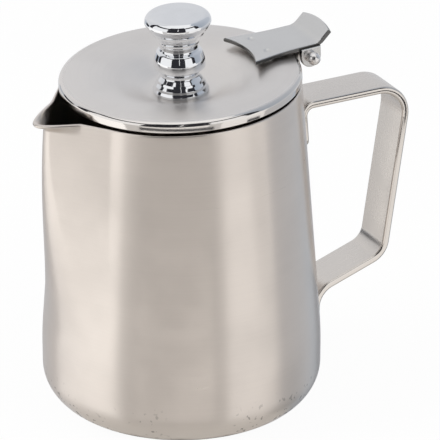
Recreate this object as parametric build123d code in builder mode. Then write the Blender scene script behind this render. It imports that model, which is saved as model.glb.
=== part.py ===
"""Hot milk jug: drawn steel body with a pulled spout, welded strip handle, hinged dished lid and turned knob.

Millimetres. +Z is up, the spout points to -X, the handle to +X, and the base stands on z = 0.
"""
import os
from math import acos, atan2, cos, degrees, hypot, pi, radians, sin, tan

from build123d import *

os.makedirs("parts", exist_ok=True)

# Jug body: a tapered shell with a rounded foot
rim_radius = 46.0
body_height = 128.6
belly_radius = 53.8
belly_height = 27.0
belly_blend = 130.0
base_corner = 14.0
wall = 0.9

# Spout: a swelling of the wall between two creases, with a curled lip at the rim
spout_reach = 69.0
spout_neck_reach = 56.5
spout_lip_height = 7.0
spout_lip_dip = 6.7
spout_tip_radius = 4.5
spout_start = 36.0
spout_crease = 25.0
spout_crease_margin = 0.15
spout_swell = 1.3
spout_narrowing = 1.9

# Handle: one bent flat strip, its feet shaped to the wall
strip_width = 17.7
strip_thickness = 3.0
strip_edge = 1.0
foot_corner = 4.0
foot_bite = 0.25
handle_drop = 14.3
upper_foot_length = 19.2
lower_foot_end = 11.2
handle_reach = 96.8
grip_lean = 8.4
lower_arm_height = 32.6
lower_arm_slope = 18.8
bend_upper_foot = 4.0
bend_top = 11.5
bend_bottom = 8.5
bend_lower_foot = 9.5

# Lid: a dished sheet with a turned-down edge
lid_sheet = 0.9
lid_edge_height = 2.95
lid_edge_round = 2.0
seat_gap = 0.3
lid_lift = 2.4
dish_depth = 7.1
dish_floor_radius = 13.0
dish_top_radius = 31.0
dish_blend = 14.0

# Hinge: plate on the lid, pin, and bracket on the body
plate_thickness = 1.8
plate_stand = 1.4
plate_width = 23.2
plate_front_radius = 27.6
prong_round = 0.8
weld_x = 34.0
weld_spread = 13.0
weld_ball = 2.6
weld_depth = 0.5
weld_foot = 1.6
hinge_setback = 4.1
pin_radius = 1.5
pin_drop = 4.6
ear_radius = 4.2
relief_width = 1.0
relief_depth = 1.8
tab_width = 20.6
tab_reach = 10.2
tab_angle = 42.0
tab_bend = 6.0
tab_end_arc = 45.0
ball_radius = 2.5
bracket_sheet = 1.1
bracket_leg_width = 12.0
bracket_foot_drop = 13.5
bracket_bite = 0.5
running_clearance = 0.05
side_clearance = 0.3

# Knob and the screw that holds it
knob_height = 31.6
knob_radius = 12.6
screw_radius = 2.0
screw_depth = 9.0
screw_head_radius = 3.6
screw_head_height = 2.2
screw_slot = 1.0
hole_clearance = 0.2
washer_radius = 5.5
washer_thickness = 0.8

taper = (belly_radius - rim_radius) / (body_height - belly_height)


def wall_radius(height):
    """Outside radius of the body's wall at a height."""
    return rim_radius + taper * (body_height - max(height, belly_height))


def nose(height):
    """Distance of the spout's nose circle from the jug's axis at a height, and its radius."""
    share = (height - spout_start) / (body_height - spout_lip_height - spout_start)
    curl = (height - body_height + spout_lip_height) / spout_lip_height
    swell = (spout_neck_reach - rim_radius) * sin(min(share, 1) * pi / 2) ** spout_swell
    swell += (spout_reach - spout_neck_reach) * max(curl, 0)
    radius = spout_tip_radius
    radius += (wall_radius(height) - spout_tip_radius) * max(1 - share, 0) ** spout_narrowing
    return wall_radius(height) + swell - radius, radius


def section(height, inset):
    """Face of the body at a height: the wall's arc, two flanks from the creases, and the nose's arc."""
    outer = wall_radius(height)
    distance, radius = nose(height)
    tangent = acos((outer - radius) / distance)
    crossing = acos(min((distance**2 + outer**2 - radius**2) / (2 * distance * outer), 1))
    least = crossing + spout_crease_margin * (tangent - crossing)
    crease = min(max(radians(spout_crease), least), tangent)
    along = outer * cos(crease) - distance
    across = outer * sin(crease)
    flank = atan2(across, along) - acos(radius / hypot(along, across))
    inner_crease = flank - acos(min((outer * cos(flank - crease) - inset) / (outer - inset), 1))
    open_turn = 180 - degrees(inner_crease)
    with BuildSketch(Plane.XY.offset(height)) as face:
        with BuildLine():
            back = CenterArc((0, 0), outer - inset, -open_turn, 2 * open_turn)
            beak = CenterArc((-distance, 0), radius - inset, 180 - degrees(flank), 2 * degrees(flank))
            Line(back @ 1, beak @ 0)
            Line(beak @ 1, back @ 0)
        make_face()
    return face.sketch


def jug_form(inset, top):
    """Solid inside the wall's outer face, or inside its inner face when inset by the wall."""
    neck = body_height - spout_lip_height
    swelling = [spout_start + (neck - spout_start) * share for share in (0.02, 0.2, 0.4, 0.6, 0.8, 1)]
    foot = swelling[0]
    wall_faces = [section(height, inset) for height in swelling]
    lip_face = section(top, inset)
    with BuildPart() as form:
        with BuildSketch(Plane.XZ):
            with BuildLine():
                side = FilletPolyline(
                    (0, inset),
                    (belly_radius - inset, inset),
                    (belly_radius - inset, belly_height),
                    (wall_radius(foot) - inset, foot),
                    radius=(base_corner - inset, belly_blend - inset),
                )
                Polyline(side @ 1, (0, foot), (0, inset))
            make_face()
        revolve(axis=Axis.Z)
        loft(sections=wall_faces)
        loft(sections=[wall_faces[-1], lip_face], ruled=True)
    return form.part


jug_outside = jug_form(0, body_height)

# Jug body
with BuildPart() as jug_body:
    add(jug_outside)
    add(jug_form(wall, body_height + wall), mode=Mode.SUBTRACT)
    with BuildSketch(Plane.XZ):
        with BuildLine():
            Polyline(
                (-rim_radius, body_height),
                (-spout_reach, body_height - spout_lip_dip),
                (-2 * spout_reach, body_height - spout_lip_dip),
                (-2 * spout_reach, body_height + wall),
                (-rim_radius, body_height + wall),
                close=True,
            )
        make_face()
    extrude(amount=rim_radius, both=True, mode=Mode.SUBTRACT)
jug_body.part.label = "jug_body"
export_step(jug_body.part, "parts/jug_body.step")

# Handle
handle_top = body_height - handle_drop
upper_foot_end = handle_top - upper_foot_length
arm_height = handle_top - strip_thickness / 2
upper_foot = strip_thickness / 2 - foot_bite
lower_foot_x = belly_radius + upper_foot
grip_top_x = handle_reach - strip_thickness / 2
arm_slope = tan(radians(lower_arm_slope))
grip_slope = tan(radians(grip_lean))
arm_rise = (grip_top_x - grip_slope * (arm_height - lower_arm_height) - lower_foot_x) * arm_slope
corner_height = lower_arm_height + arm_rise / (1 - grip_slope * arm_slope)
grip_bottom_x = grip_top_x - grip_slope * (arm_height - corner_height)
with BuildPart() as handle:
    with BuildSketch(Plane.XZ):
        with BuildLine():
            FilletPolyline(
                (wall_radius(upper_foot_end) + upper_foot, upper_foot_end),
                (wall_radius(arm_height) + upper_foot, arm_height),
                (grip_top_x, arm_height),
                (grip_bottom_x, corner_height),
                (lower_foot_x, lower_arm_height),
                (lower_foot_x, lower_foot_end),
                radius=(bend_upper_foot, bend_top, bend_bottom, bend_lower_foot),
            )
        trace(line_width=strip_thickness)
    extrude(amount=strip_width / 2, both=True)
    ends = handle.edges().filter_by(GeomType.LINE)
    fillet(ends.filter_by(lambda e: abs(e.length - strip_thickness) < 0.001), foot_corner)
    sides = handle.faces().sort_by(Axis.Y)
    fillet(sides[0].edges() + sides[-1].edges(), strip_edge)
    add(jug_outside, mode=Mode.SUBTRACT)
handle.part.label = "handle"
export_step(handle.part, "parts/handle.step")

# Hinge layout: the lid's pieces are drawn level, then lifted at the hinge about the lid's edge over the spout
lid_base = body_height + seat_gap
lid_top = lid_base + lid_edge_height
pin_x = rim_radius + hinge_setback
plate_base = lid_top + plate_stand
pin_z = plate_base + plate_thickness - pin_drop
lift_axis = Axis((-rim_radius, 0, lid_base), (0, 1, 0))
lift_cos = cos(radians(lid_lift))
lift_sin = sin(radians(lid_lift))
hinge_x = (pin_x + rim_radius) * lift_cos - (pin_z - lid_base) * lift_sin - rim_radius
hinge_z = (pin_x + rim_radius) * lift_sin + (pin_z - lid_base) * lift_cos + lid_base
ear_side = plate_width / 2
ear_inside = ear_side - plate_thickness
knuckle_half = ear_inside - side_clearance
knuckle_bore = pin_radius + running_clearance
knuckle_radius = knuckle_bore + bracket_sheet

# Hinge bracket: a leg welded to the wall with a rolled knuckle at its top
leg_in = hinge_x - knuckle_radius
bracket_foot_end = body_height - bracket_foot_drop
with BuildPart() as hinge_bracket:
    with BuildSketch(Plane.XZ):
        with BuildLine():
            Polyline(
                (wall_radius(bracket_foot_end) - bracket_bite, bracket_foot_end),
                (rim_radius, body_height - knuckle_radius),
                (leg_in, hinge_z),
                (leg_in + bracket_sheet, hinge_z),
                (rim_radius + bracket_sheet + bracket_bite, body_height - knuckle_radius - bracket_sheet),
                (wall_radius(bracket_foot_end) + bracket_sheet, bracket_foot_end),
                close=True,
            )
        make_face()
    extrude(amount=bracket_leg_width / 2, both=True)
    with BuildSketch(Plane.XZ):
        with Locations((hinge_x, hinge_z)):
            Circle(knuckle_radius)
    extrude(amount=knuckle_half, both=True)
    with BuildSketch(Plane.XZ):
        with Locations((hinge_x, hinge_z)):
            Circle(knuckle_bore)
    extrude(amount=ear_side, both=True, mode=Mode.SUBTRACT)
    add(jug_outside, mode=Mode.SUBTRACT)
hinge_bracket.part.label = "hinge_bracket"
export_step(hinge_bracket.part, "parts/hinge_bracket.step")

# Lid
dish_floor = lid_top - dish_depth
under_shift = lid_sheet * dish_depth / (dish_top_radius - dish_floor_radius) / 2
with BuildPart() as lid:
    with BuildSketch(Plane.XZ):
        with BuildLine():
            top_line = FilletPolyline(
                (0, dish_floor),
                (dish_floor_radius, dish_floor),
                (dish_top_radius, lid_top),
                (rim_radius, lid_top),
                (rim_radius, lid_base),
                radius=(dish_blend, dish_blend, lid_edge_round),
            )
            under_line = FilletPolyline(
                (0, dish_floor - lid_sheet),
                (dish_floor_radius + under_shift, dish_floor - lid_sheet),
                (dish_top_radius + under_shift, lid_top - lid_sheet),
                (rim_radius - lid_sheet, lid_top - lid_sheet),
                (rim_radius - lid_sheet, lid_base),
                radius=(dish_blend + lid_sheet, dish_blend - lid_sheet, lid_edge_round - lid_sheet),
            )
            Line(top_line @ 1, under_line @ 1)
            Line(top_line @ 0, under_line @ 0)
        make_face()
    revolve(axis=Axis.Z)
    with BuildSketch(Plane.XY.offset(lid_top)):
        Circle(screw_radius + hole_clearance)
    extrude(amount=-2 * dish_depth, mode=Mode.SUBTRACT)
lid_piece = lid.part.rotate(lift_axis, -lid_lift)
lid_piece.label = "lid"
export_step(lid_piece, "parts/lid.step")

# Thumb plate: bent strip cut to its outline, two folded ears, two dimples pressed down to the lid and welded there
plate_mid = plate_base + plate_thickness / 2
ear_front = pin_x - ear_radius
ear_back = pin_x + ear_radius
tab_end = pin_x + tab_reach
strip_end = tab_end + plate_thickness
strip_end_z = plate_mid + (strip_end - ear_back) * tan(radians(tab_angle))
with BuildPart() as thumb_plate:
    with BuildSketch(Plane.XZ):
        with BuildLine():
            FilletPolyline(
                (plate_front_radius / 2, plate_mid),
                (ear_back, plate_mid),
                (strip_end, strip_end_z),
                radius=tab_bend,
            )
        trace(line_width=plate_thickness)
    extrude(amount=plate_width, both=True)
    with BuildSketch(Plane.XY.offset(lid_top - ear_radius)) as outline:
        with Locations((ear_back / 2, 0)):
            Rectangle(ear_back, plate_width)
        with Locations((tab_end / 2, 0)):
            Rectangle(tab_end, tab_width)
        with Locations((tab_end - tab_end_arc, 0)):
            Circle(tab_end_arc, mode=Mode.INTERSECT)
        Circle(plate_front_radius, mode=Mode.SUBTRACT)
        with Locations((ear_front - relief_width / 2, ear_side), (ear_front - relief_width / 2, -ear_side)):
            Rectangle(relief_width, 2 * relief_depth, mode=Mode.SUBTRACT)
        fillet(outline.vertices().group_by(Axis.X)[0], prong_round)
    extrude(amount=tab_end, mode=Mode.INTERSECT)
    for ear_plane in (Plane.XZ.offset(ear_inside), Plane.XZ.offset(-ear_side)):
        with BuildSketch(ear_plane):
            with Locations((pin_x, pin_z)):
                Circle(ear_radius)
            with Locations((pin_x, (pin_z + plate_mid) / 2)):
                Rectangle(2 * ear_radius, plate_mid - pin_z)
        extrude(amount=plate_thickness)
    with BuildSketch(Plane.XZ):
        with Locations((pin_x, pin_z)):
            Circle(pin_radius)
    extrude(amount=plate_width, both=True, mode=Mode.SUBTRACT)
    with BuildSketch(Plane.XY.offset(lid_top)):
        with Locations((weld_x, weld_spread / 2), (weld_x, -weld_spread / 2)):
            Circle(weld_foot)
    extrude(amount=plate_mid - lid_top)
    dimple_z = plate_base + plate_thickness + weld_ball - weld_depth
    with Locations((weld_x, weld_spread / 2, dimple_z), (weld_x, -weld_spread / 2, dimple_z)):
        Sphere(weld_ball, mode=Mode.SUBTRACT)
thumb_plate_piece = thumb_plate.part.rotate(lift_axis, -lid_lift)
thumb_plate_piece.label = "thumb_plate"
export_step(thumb_plate_piece, "parts/thumb_plate.step")

# Hinge pin with its ball head, and the ball cap on its other end
ball_offset = ear_side + ball_radius * cos(radians(40))
pin_end = ball_offset
with BuildPart() as hinge_pin:
    with BuildSketch(Plane.XZ.offset(-pin_end)):
        with Locations((pin_x, pin_z)):
            Circle(pin_radius)
    extrude(amount=pin_end + ear_side)
    with BuildSketch(Plane.XY.offset(pin_z)) as head:
        with Locations((pin_x, -ball_offset)):
            Circle(ball_radius)
        with Locations((pin_x - ball_radius, -ball_offset)):
            Rectangle(2 * ball_radius, 4 * ball_radius, mode=Mode.SUBTRACT)
        with Locations((pin_x, 0)):
            Rectangle(4 * ball_radius, 2 * ear_side, mode=Mode.SUBTRACT)
    revolve(axis=Axis((pin_x, 0, pin_z), (0, 1, 0)))
hinge_pin_piece = hinge_pin.part.rotate(lift_axis, -lid_lift)
hinge_pin_piece.label = "hinge_pin"
export_step(hinge_pin_piece, "parts/hinge_pin.step")

with BuildPart() as pin_cap:
    with BuildSketch(Plane.XY.offset(pin_z)):
        with Locations((pin_x, ball_offset)):
            Circle(ball_radius)
        with Locations((pin_x - ball_radius, ball_offset)):
            Rectangle(2 * ball_radius, 4 * ball_radius, mode=Mode.SUBTRACT)
        with Locations((pin_x, 0)):
            Rectangle(4 * ball_radius, 2 * ear_side, mode=Mode.SUBTRACT)
        with Locations((pin_x, ear_side)):
            Rectangle(2 * pin_radius, 2 * (pin_end - ear_side), mode=Mode.SUBTRACT)
    revolve(axis=Axis((pin_x, 0, pin_z), (0, 1, 0)))
pin_cap_piece = pin_cap.part.rotate(lift_axis, -lid_lift)
pin_cap_piece.label = "pin_cap"
export_step(pin_cap_piece, "parts/pin_cap.step")

# Knob: turned tiers, radius and height of each as a share of the knob's own
knob_tiers = (
    (0.845, 0.000, 0.02),
    (0.845, 0.036, 0.05),
    (0.770, 0.054, 0.03),
    (0.745, 0.090, 0.05),
    (0.650, 0.108, 0.03),
    (0.615, 0.150, 0.06),
    (0.545, 0.172, 0.06),
    (0.545, 0.208, 0.06),
    (0.680, 0.252, 0.40),
    (0.800, 0.315, 0.30),
    (0.800, 0.400, 0.30),
    (0.640, 0.478, 0.10),
    (0.600, 0.486, 0.02),
    (0.600, 0.512, 0.02),
    (0.570, 0.520, 0.02),
    (0.570, 0.590, 0.05),
    (0.610, 0.615, 0.02),
    (0.610, 0.635, 0.02),
    (0.730, 0.672, 0.03),
    (0.765, 0.710, 0.03),
    (0.820, 0.735, 0.03),
    (0.820, 0.770, 0.04),
    (1.000, 0.860, 0.13),
    (1.000, 0.952, 0.11),
)
crown_edge = 0.85 * knob_radius
crown_rise = 0.025 * knob_height
crown_radius = (crown_edge**2 + crown_rise**2) / (2 * crown_rise)
with BuildPart() as knob:
    with BuildSketch(Plane.XZ):
        with BuildLine():
            shape = FilletPolyline(
                (0, dish_floor),
                [(knob_radius * r, dish_floor + knob_height * h) for r, h, c in knob_tiers],
                (crown_edge, dish_floor + knob_height - crown_rise),
                radius=[knob_radius * c for r, h, c in knob_tiers],
            )
            crown = RadiusArc(shape @ 1, (0, dish_floor + knob_height), -crown_radius)
            Line(crown @ 1, shape @ 0)
        make_face()
    revolve(axis=Axis.Z)
    with BuildSketch(Plane.XY.offset(dish_floor)):
        Circle(screw_radius)
    extrude(amount=screw_depth, mode=Mode.SUBTRACT)
knob_piece = knob.part.rotate(lift_axis, -lid_lift)
knob_piece.label = "knob"
export_step(knob_piece, "parts/knob.step")

# Washer and screw under the lid
washer_top = dish_floor - lid_sheet
washer_base = washer_top - washer_thickness
with BuildPart() as knob_washer:
    with BuildSketch(Plane.XY.offset(washer_base)):
        Circle(washer_radius)
        Circle(screw_radius + hole_clearance, mode=Mode.SUBTRACT)
    extrude(amount=washer_thickness)
knob_washer_piece = knob_washer.part.rotate(lift_axis, -lid_lift)
knob_washer_piece.label = "knob_washer"
export_step(knob_washer_piece, "parts/knob_washer.step")

with BuildPart() as knob_screw:
    with BuildSketch(Plane.XY.offset(washer_base)):
        Circle(screw_head_radius)
    extrude(amount=-screw_head_height)
    fillet(knob_screw.edges().sort_by(Axis.Z)[0], screw_head_height / 3)
    with BuildSketch(Plane.XY.offset(washer_base - screw_head_height)):
        Rectangle(3 * screw_head_radius, screw_slot)
    extrude(amount=screw_head_height / 2, mode=Mode.SUBTRACT)
    with BuildSketch(Plane.XY.offset(washer_base)):
        Circle(screw_radius)
    extrude(amount=washer_thickness + lid_sheet + screw_depth)
knob_screw_piece = knob_screw.part.rotate(lift_axis, -lid_lift)
knob_screw_piece.label = "knob_screw"
export_step(knob_screw_piece, "parts/knob_screw.step")
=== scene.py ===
import math

import bmesh
import bpy
from mathutils import Matrix, Vector


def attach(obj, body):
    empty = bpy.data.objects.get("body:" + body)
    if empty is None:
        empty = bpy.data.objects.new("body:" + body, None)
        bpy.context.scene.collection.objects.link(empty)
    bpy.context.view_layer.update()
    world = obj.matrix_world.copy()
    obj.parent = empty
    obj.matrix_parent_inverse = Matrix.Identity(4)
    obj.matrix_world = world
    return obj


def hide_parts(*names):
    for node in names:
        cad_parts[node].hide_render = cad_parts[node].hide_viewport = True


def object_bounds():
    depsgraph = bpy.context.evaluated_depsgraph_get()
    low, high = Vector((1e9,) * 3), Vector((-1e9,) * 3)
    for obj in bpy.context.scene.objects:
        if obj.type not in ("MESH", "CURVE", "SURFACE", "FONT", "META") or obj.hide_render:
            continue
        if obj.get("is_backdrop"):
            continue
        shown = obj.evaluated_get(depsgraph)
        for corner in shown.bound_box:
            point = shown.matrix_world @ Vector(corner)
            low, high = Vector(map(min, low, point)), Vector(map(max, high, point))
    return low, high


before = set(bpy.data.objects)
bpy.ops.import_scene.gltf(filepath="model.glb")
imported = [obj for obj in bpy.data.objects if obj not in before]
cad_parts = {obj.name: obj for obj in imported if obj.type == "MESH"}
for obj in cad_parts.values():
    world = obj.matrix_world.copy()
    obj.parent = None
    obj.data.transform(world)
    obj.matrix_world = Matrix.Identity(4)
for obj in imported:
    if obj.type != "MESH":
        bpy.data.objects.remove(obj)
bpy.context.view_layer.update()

# Jug body. One deep-drawn shell of 0.9 mm stainless sheet with a rounded foot and a tapered wall.
# The spout is pulled out between two soft creases, its lip is curled at the tip, and the rim leans to it.
# The outside is brushed round the axis and left satin, and the rim's edge is dressed round.
MM = 0.001
RIM_RADIUS = 46.0 * MM
RIM_SLANT = 1.8 * MM
BODY_HEIGHT = 128.6 * MM
BELLY_RADIUS = 53.8 * MM
BELLY_HEIGHT = 27.0 * MM
BELLY_BLEND = 130.0 * MM
BASE_CORNER = 14.0 * MM
WALL = 0.9 * MM
SPOUT_REACH = 69.0 * MM
SPOUT_NECK_REACH = 56.5 * MM
SPOUT_START = 36.0 * MM
SPOUT_ONSET = 0.01
SPOUT_SWELL = 1.3
SPOUT_NARROWING = 1.9
SPOUT_TIP_RADIUS = 4.5 * MM
SPOUT_CREASE = math.radians(31)
SPOUT_CREASE_MARGIN = 0.15
SPOUT_CREASE_SOFT = 1.2 * MM
SPOUT_LIP_HEIGHT = 7.0 * MM
SPOUT_LIP_DIP = 6.7 * MM
SPOUT_LIP_BEAD = 1.5 * MM
SPOUT_LIP_TUCK = 0.7 * SPOUT_LIP_BEAD
SPOUT_BEAD_WIDTH = 0.6
SPOUT_CURL_WIDTH = math.radians(15)
SPOUT_CURL_FADE = 1.5
LIP_PASSES = 6
LEVEL_RIM = 0.01 * MM
BODY_COLUMNS = 360
EVEN_COLUMNS = 0.22
BASE_RINGS = (0.35, 0.7, 0.95)
CORNER_ROWS = 14
WALL_ROWS = 50
LIP_ROWS = 8
BEAD_ROWS = 4
RIM_ROWS = 6
MERGE_DISTANCE = 1e-6
TAPER = (BELLY_RADIUS - RIM_RADIUS) / (BODY_HEIGHT - BELLY_HEIGHT)
NECK_HEIGHT = BODY_HEIGHT - SPOUT_LIP_HEIGHT


def body_radius(height):
    """Outside radius of the round body: foot corner, upright belly, soft bend and tapered wall."""
    if height < BASE_CORNER:
        return BELLY_RADIUS - BASE_CORNER + math.sqrt(BASE_CORNER**2 - (BASE_CORNER - height) ** 2)
    angle = math.atan(TAPER)
    bend_start = BELLY_HEIGHT - BELLY_BLEND * math.tan(angle / 2)
    bend_rise = min(max(height - bend_start, 0), BELLY_BLEND * math.sin(angle))
    bend = BELLY_BLEND - math.sqrt(BELLY_BLEND**2 - bend_rise**2)
    return BELLY_RADIUS - bend - TAPER * max(height - bend_start - BELLY_BLEND * math.sin(angle), 0)


def spout_radius(turn, height, curl):
    """Outside radius of the body at an angle from the spout's direction; curl pushes the lip outwards."""
    outer = body_radius(height)
    share = (height - SPOUT_START) / (NECK_HEIGHT - SPOUT_START)
    if share < SPOUT_ONSET:
        return outer
    swell = (SPOUT_NECK_REACH - RIM_RADIUS) * math.sin(min(share, 1) * math.pi / 2) ** SPOUT_SWELL
    swell += curl
    nose = SPOUT_TIP_RADIUS + (outer - SPOUT_TIP_RADIUS) * max(1 - share, 0) ** SPOUT_NARROWING
    reach = outer + swell - nose
    tangent = math.acos((outer - nose) / reach)
    crossing = math.acos(min((reach**2 + outer**2 - nose**2) / (2 * reach * outer), 1))
    least = crossing + SPOUT_CREASE_MARGIN * (tangent - crossing)
    crease = min(max(SPOUT_CREASE, least), tangent)
    along = outer * math.cos(crease) - reach
    across = outer * math.sin(crease)
    flank = math.atan2(across, along) - math.acos(nose / math.hypot(along, across))
    turn = abs(turn)
    if turn < math.atan2(nose * math.sin(flank), reach + nose * math.cos(flank)):
        return reach * math.cos(turn) + math.sqrt(max(nose**2 - (reach * math.sin(turn)) ** 2, 0))
    if turn > flank:
        return outer
    nearest = outer * math.cos(flank - crease)
    side = nearest / math.cos(turn - flank)
    soft = min(SPOUT_CREASE_SOFT, outer - nearest) + 1e-9
    mix = min(max(0.5 + 0.5 * (side - outer) / soft, 0), 1)
    return outer + (side - outer) * mix + soft * mix * (1 - mix)


def lip_height(turn):
    """Height of the level rim at an angle from the spout's direction: it dips towards the spout's tip."""
    height = BODY_HEIGHT
    for _ in range(LIP_PASSES):
        curl = (SPOUT_REACH - SPOUT_NECK_REACH) * (height - NECK_HEIGHT) / SPOUT_LIP_HEIGHT
        beyond = spout_radius(turn, height, curl) * math.cos(turn) - RIM_RADIUS
        height = BODY_HEIGHT - SPOUT_LIP_DIP * max(beyond, 0) / (SPOUT_REACH - RIM_RADIUS)
    return height


def body_column(turn):
    """Points of the body's outside from the base's centre to the rim, at one angle from the spout."""
    flat = BELLY_RADIUS - BASE_CORNER
    points = [(0.0, 0.0)] + [(flat * share, 0.0) for share in BASE_RINGS]
    for step in range(CORNER_ROWS + 1):
        angle = math.pi / 2 * step / CORNER_ROWS
        points.append((flat + BASE_CORNER * math.sin(angle), BASE_CORNER * (1 - math.cos(angle))))
    for step in range(1, WALL_ROWS + 1):
        height = BASE_CORNER + (NECK_HEIGHT - BASE_CORNER) * step / WALL_ROWS
        points.append((spout_radius(turn, height, 0), height))
    top = lip_height(turn)
    if top > BODY_HEIGHT - LEVEL_RIM:
        top += RIM_SLANT
    curl = (SPOUT_REACH - SPOUT_NECK_REACH) * (top - NECK_HEIGHT) / SPOUT_LIP_HEIGHT
    curl -= SPOUT_LIP_TUCK * (BODY_HEIGHT - top) / SPOUT_LIP_DIP
    curl *= max(1 - (turn / SPOUT_CURL_WIDTH) ** 2, 0) ** SPOUT_CURL_FADE
    top = min(top, BODY_HEIGHT - RIM_SLANT * math.cos(turn))
    for step in range(1, LIP_ROWS + 1):
        share = step / LIP_ROWS
        height = NECK_HEIGHT + (top - WALL / 2 - NECK_HEIGHT) * share
        points.append((spout_radius(turn, height, curl * share**2), height))
    return [Vector((-r * math.cos(turn), -r * math.sin(turn), z)) for r, z in points]


def body_mesh():
    """Closed shell: outside, rounded rim and inside, in columns that crowd towards the spout."""
    turns = []
    for step in range(BODY_COLUMNS):
        share = 2 * step / BODY_COLUMNS - 1
        turns.append(math.pi * (EVEN_COLUMNS * share + (1 - EVEN_COLUMNS) * share**3))
    outside = [body_column(turn) for turn in turns]
    last = len(outside[0]) - 1
    columns = []
    for index, turn in enumerate(turns):
        before = outside[index - 1]
        after = outside[(index + 1) % BODY_COLUMNS]
        column = list(outside[index])
        near_tip = max(1 - abs(turn) / SPOUT_BEAD_WIDTH, 0)
        inside = []
        for row in range(1, last + 1):
            lower = column[row - 1]
            upper = column[min(row + 1, last)]
            normal = (after[row] - before[row]).cross(upper - lower).normalized()
            bead = max(row - last + BEAD_ROWS, 0) / BEAD_ROWS * near_tip
            inside.append(column[row] - normal * (WALL + (SPOUT_LIP_BEAD - WALL) * bead))
        middle = (column[-1] + inside[-1]) / 2
        half = column[-1] - middle
        rise = (column[-1] - column[-2]).normalized() * half.length
        for step in range(1, RIM_ROWS):
            angle = math.pi * step / RIM_ROWS
            column.append(middle + half * math.cos(angle) + rise * math.sin(angle))
        column += reversed(inside)
        column.append(Vector((0, 0, WALL)))
        columns.append(column)
    vertices = [point for column in columns for point in column]
    length = len(columns[0])
    faces = []
    for index in range(BODY_COLUMNS):
        here = index * length
        there = (index + 1) % BODY_COLUMNS * length
        faces += [(here + row, there + row, there + row + 1, here + row + 1) for row in range(length - 1)]
    mesh = bpy.data.meshes.new("jug_shell")
    mesh.from_pydata(vertices, [], faces)
    clean = bmesh.new()
    clean.from_mesh(mesh)
    bmesh.ops.remove_doubles(clean, verts=clean.verts, dist=MERGE_DISTANCE)
    bmesh.ops.recalc_face_normals(clean, faces=clean.faces)
    clean.to_mesh(mesh)
    clean.free()
    mesh.shade_smooth()
    return mesh


def place(tree, kind, settings=(), **sockets):
    """Adds a node with its settings and fills its sockets, by name or as i0, i1 and so on by number.

    A socket that is given another socket gets a link, and any other gets a value.
    """
    node = tree.nodes.new(kind)
    for name, value in dict(settings).items():
        setattr(node, name, value)
    for name, value in sockets.items():
        numbered = name[0] == "i" and name[1:].isdigit()
        socket = node.inputs[int(name[1:]) if numbered else name]
        if isinstance(value, bpy.types.NodeSocket):
            tree.links.new(value, socket)
        else:
            socket.default_value = value
    return node


def calc(tree, operation, first, second=0.0):
    """A Math node's result."""
    return place(tree, "ShaderNodeMath", {"operation": operation}, i0=first, i1=second).outputs[0]


def scaled(tree, vector, factor):
    """A vector or colour times a factor, part by part."""
    return place(tree, "ShaderNodeVectorMath", {"operation": "MULTIPLY"}, i0=vector, i1=factor).outputs[0]


def ramp(tree, value, zero, one):
    """A value brought to run from 0 to 1 between two limits, and held beyond them."""
    return place(tree, "ShaderNodeMapRange", i0=value, i1=zero, i2=one).outputs[0]


def shader_group(name, inputs, outputs):
    """A new shader node group: its tree, the sockets that come in and the ones that go out."""
    group = bpy.data.node_groups.new(name, "ShaderNodeTree")
    for socket, kind in inputs:
        group.interface.new_socket(socket, in_out="INPUT", socket_type="NodeSocket" + kind)
    for socket in outputs:
        group.interface.new_socket(socket, in_out="OUTPUT", socket_type="NodeSocketFloat")
    return group, group.nodes.new("NodeGroupInput").outputs, group.nodes.new("NodeGroupOutput").inputs


def put_group(tree, group, **sockets):
    """Places a shader node group, sets its named inputs and returns its outputs."""
    return place(tree, "ShaderNodeGroup", {"node_tree": group}, **sockets).outputs


def satin_brushing():
    """Fine parallel scratches: Across counts over the scratches in metres, Along runs with them."""
    fine_scale, fine_length, fine_detail, fine_share = 2600.0, 26.0, 3.0, 0.6
    broad_scale, broad_length, broad_detail, broad_share = 420.0, 9.0, 2.0, 0.4
    least_shade, shade_span = 0.96, 0.08
    inputs = (("Along", "Vector"), ("Across", "Float"), ("Roughness", "Float"), ("Spread", "Float"))
    group, start, end = shader_group("satin_brushing", inputs, ("Roughness", "Height", "Shade"))
    layers = []
    for scale, length, detail, share in (
        (fine_scale, fine_length, fine_detail, fine_share),
        (broad_scale, broad_length, broad_detail, broad_share),
    ):
        stretch = scaled(group, start["Along"], (length, length, length))
        lift = place(group, "ShaderNodeCombineXYZ", Z=calc(group, "MULTIPLY", start["Across"], scale))
        spot = place(group, "ShaderNodeVectorMath", i0=stretch, i1=lift.outputs[0]).outputs[0]
        noise = place(group, "ShaderNodeTexNoise", Vector=spot, Scale=1.0, Detail=detail).outputs[0]
        layers.append(calc(group, "MULTIPLY", noise, share))
    scratch = calc(group, "ADD", layers[0], layers[1])
    change = calc(group, "MULTIPLY", calc(group, "SUBTRACT", scratch, 0.5), start["Spread"])
    shade = calc(group, "ADD", least_shade, calc(group, "MULTIPLY", scratch, shade_span))
    group.links.new(calc(group, "ADD", start["Roughness"], change), end["Roughness"])
    group.links.new(scratch, end["Height"])
    group.links.new(shade, end["Shade"])
    return group


BRUSHING = satin_brushing()


def handling_marks():
    """Soft cloudy patches left by wiping and handling, from 0 to 1."""
    clear, full = 0.42, 0.72
    group, start, end = shader_group("handling_marks", (("Vector", "Vector"), ("Size", "Float")), ("Marks",))
    cloud = place(group, "ShaderNodeTexNoise", Vector=start["Vector"], Scale=start["Size"], Detail=4.0)
    group.links.new(ramp(group, cloud.outputs[0], clear, full), end["Marks"])
    return group


MARKS = handling_marks()


def shader(name):
    """A new material, its node tree, its Principled shader and its object coordinates."""
    material = bpy.data.materials.new(name)
    material.use_nodes = True
    tree = material.node_tree
    where = tree.nodes.new("ShaderNodeTexCoord").outputs["Object"]
    return material, tree, tree.nodes["Principled BSDF"], where


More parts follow.
